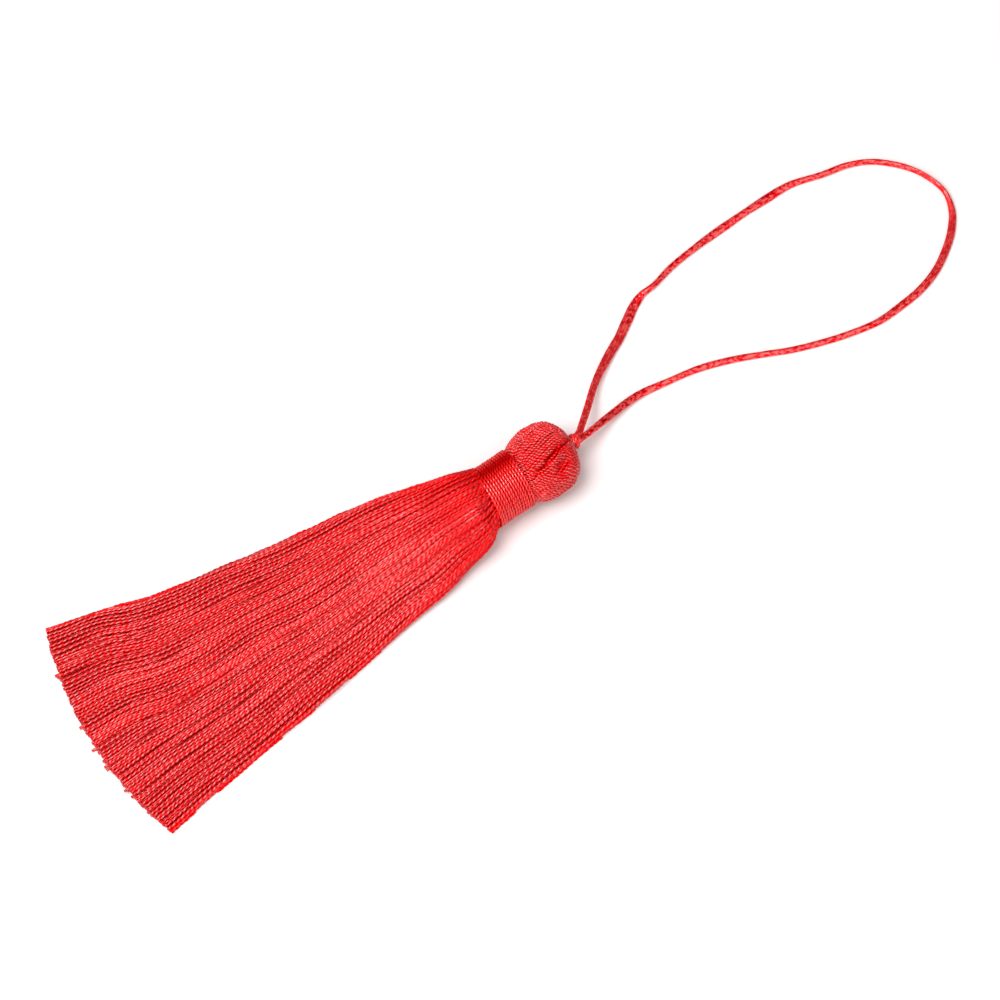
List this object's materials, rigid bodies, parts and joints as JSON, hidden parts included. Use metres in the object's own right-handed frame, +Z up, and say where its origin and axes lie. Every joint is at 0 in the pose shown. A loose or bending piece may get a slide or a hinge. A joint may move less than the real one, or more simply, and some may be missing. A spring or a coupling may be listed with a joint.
{
  "type": "silk tassel",
  "caption": "Long silk tassel with a round folded head, a wound neck, a fan of cut threads and a braided hanging loop.",
  "frame": {"origin": "middle of the small flat under the head, where it rests on the surface", "axes": "+X from the cut threads along the tassel's axis to the head and the loop, +Z up from the surface, +Y to the left of the head"},
  "size_m": [0.149, 0.0349, 0.011],
  "materials": {
    "silk_yarn": "glossy twisted silk yarn",
    "binding_thread": "glossy wound silk thread",
    "braided_cord": "satin braided cord"
  },
  "bodies": {
    "root": {"yarn_hank": "silk_yarn", "neck_binding": "binding_thread", "top_collar": "binding_thread", "hanging_loop": "braided_cord"}
  },
  "joints": []
}
